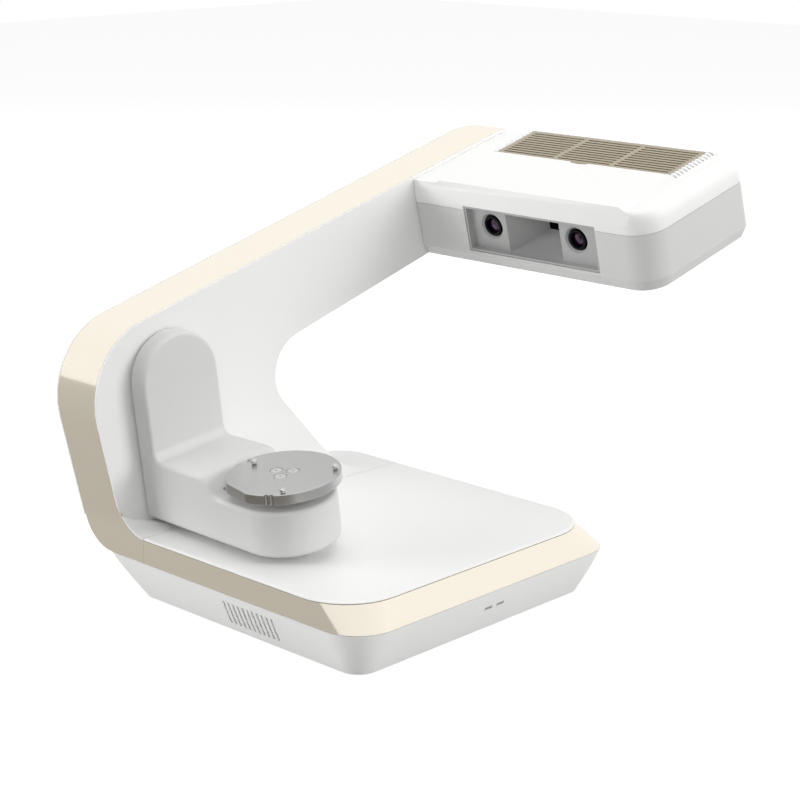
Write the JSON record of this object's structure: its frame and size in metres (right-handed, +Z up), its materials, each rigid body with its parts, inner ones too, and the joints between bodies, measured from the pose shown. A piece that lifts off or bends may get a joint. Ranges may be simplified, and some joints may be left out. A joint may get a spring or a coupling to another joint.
{
  "type": "desktop 3d scanner",
  "caption": "Desktop 3D scanner: flat base, C-shaped arm with a scan head, and a tilting arm that carries a round turntable.",
  "frame": {"origin": "middle of the scanner's footprint, on the surface that its rubber feet stand on", "axes": "+X along the scanner towards the scan head, +Y from the front to the C-arm at the back, +Z up"},
  "size_m": [0.4179, 0.2632, 0.2793],
  "materials": {
    "white_plastic": "fine moulded texture",
    "grey_plastic": "satin",
    "champagne_gold": "satin metallic",
    "steel_sheet": "galvanised",
    "rubber": "matt",
    "black_plastic": "fine moulded texture",
    "black_metal": "black anodised",
    "lens_glass": "coated",
    "light_guide": "frosted",
    "circuit_board": "lacquered",
    "aluminium": "machined",
    "brushed_steel": "fine turned satin",
    "polished_steel": "polished"
  },
  "bodies": {
    "root": {"lower_housing": "white_plastic", "bottom_plate": "steel_sheet", "foot_front_left": "rubber", "foot_front_right": "rubber", "foot_rear_left": "rubber", "foot_rear_right": "rubber", "base_band": "champagne_gold", "base_top_cover": "white_plastic", "port_panel": "black_plastic", "rocker_frame": "black_plastic", "dc_inlet": "black_plastic", "usb_socket": "steel_sheet", "main_board": "circuit_board", "indicator_light_left": "light_guide", "indicator_light_right": "light_guide", "arm_front_shell": "white_plastic", "arm_rear_cover": "white_plastic", "arm_band": "champagne_gold", "arm_frame": "aluminium", "bearing_housing": "aluminium", "swing_bearing_front": "brushed_steel", "swing_bearing_rear": "brushed_steel", "swing_motor": "black_metal", "swing_belt": "rubber", "head_lower_housing": "white_plastic", "head_top_cover": "white_plastic", "head_grille": "champagne_gold", "lens_bezel": "grey_plastic", "camera_left": "black_metal", "camera_right": "black_metal", "camera_lens_left": "lens_glass", "camera_lens_right": "lens_glass", "projector_body": "black_metal", "projector_lens": "lens_glass", "optics_bench": "aluminium", "head_board": "circuit_board", "heat_sink": "aluminium", "fan_frame": "black_plastic", "head_bracket": "aluminium"},
    "swing_arm": {"swing_shell": "white_plastic", "swing_back_plate": "white_plastic", "swing_bottom_cover": "white_plastic", "swing_shaft": "brushed_steel", "swing_pulley": "aluminium", "table_bearing": "brushed_steel", "table_motor": "black_metal", "table_belt": "rubber"},
    "turntable": {"turntable_disc": "brushed_steel", "table_shaft": "brushed_steel", "table_pulley": "aluminium", "rim_pin_1": "polished_steel", "rim_pin_2": "polished_steel", "rim_pin_3": "polished_steel", "magnet_1": "polished_steel", "magnet_2": "polished_steel", "magnet_3": "polished_steel"},
    "swing_drive": {"motor_pulley": "aluminium"},
    "table_drive": {"table_motor_pulley": "aluminium"},
    "switch": {"power_rocker": "black_plastic"},
    "fan": {"fan_rotor": "black_plastic"}
  },
  "joints": [
    {"name": "swing_tilt", "type": "hinge", "parent": "root", "child": "swing_arm", "pos_m": [-0.14925, 0, 0.14767], "axis": [0, 1, 0], "range_deg": [-25, 82]},
    {"name": "turntable_spin", "type": "hinge", "parent": "swing_arm", "child": "turntable", "pos_m": [-0.14382, -0.01636, 0.10204], "axis": [-0.1182, 0, 0.993], "continuous": true},
    {"name": "swing_motor_turn", "type": "hinge", "parent": "root", "child": "swing_drive", "pos_m": [-0.08772, 0, 0.1725], "axis": [0, 1, 0], "range_deg": [-76, 247]},
    {"name": "table_motor_turn", "type": "hinge", "parent": "swing_arm", "child": "table_drive", "pos_m": [-0.14074, 0.0484, 0.07618], "axis": [-0.1182, 0, 0.993], "continuous": true},
    {"name": "power_rocker_tip", "type": "hinge", "parent": "root", "child": "switch", "pos_m": [-0.05772, 0.0814, 0.0175], "axis": [0, 0, 1], "range_deg": [0, 16]},
    {"name": "fan_spin", "type": "hinge", "parent": "root", "child": "fan", "pos_m": [0.1702, -0.0166, 0.26636], "axis": [-0.2477, 0, 0.9688], "continuous": true}
  ],
  "couplings": [
    {"joint": "swing_motor_turn", "follows": "swing_tilt", "ratio": 3},
    {"joint": "table_motor_turn", "follows": "turntable_spin", "ratio": 2.4}
  ]
}
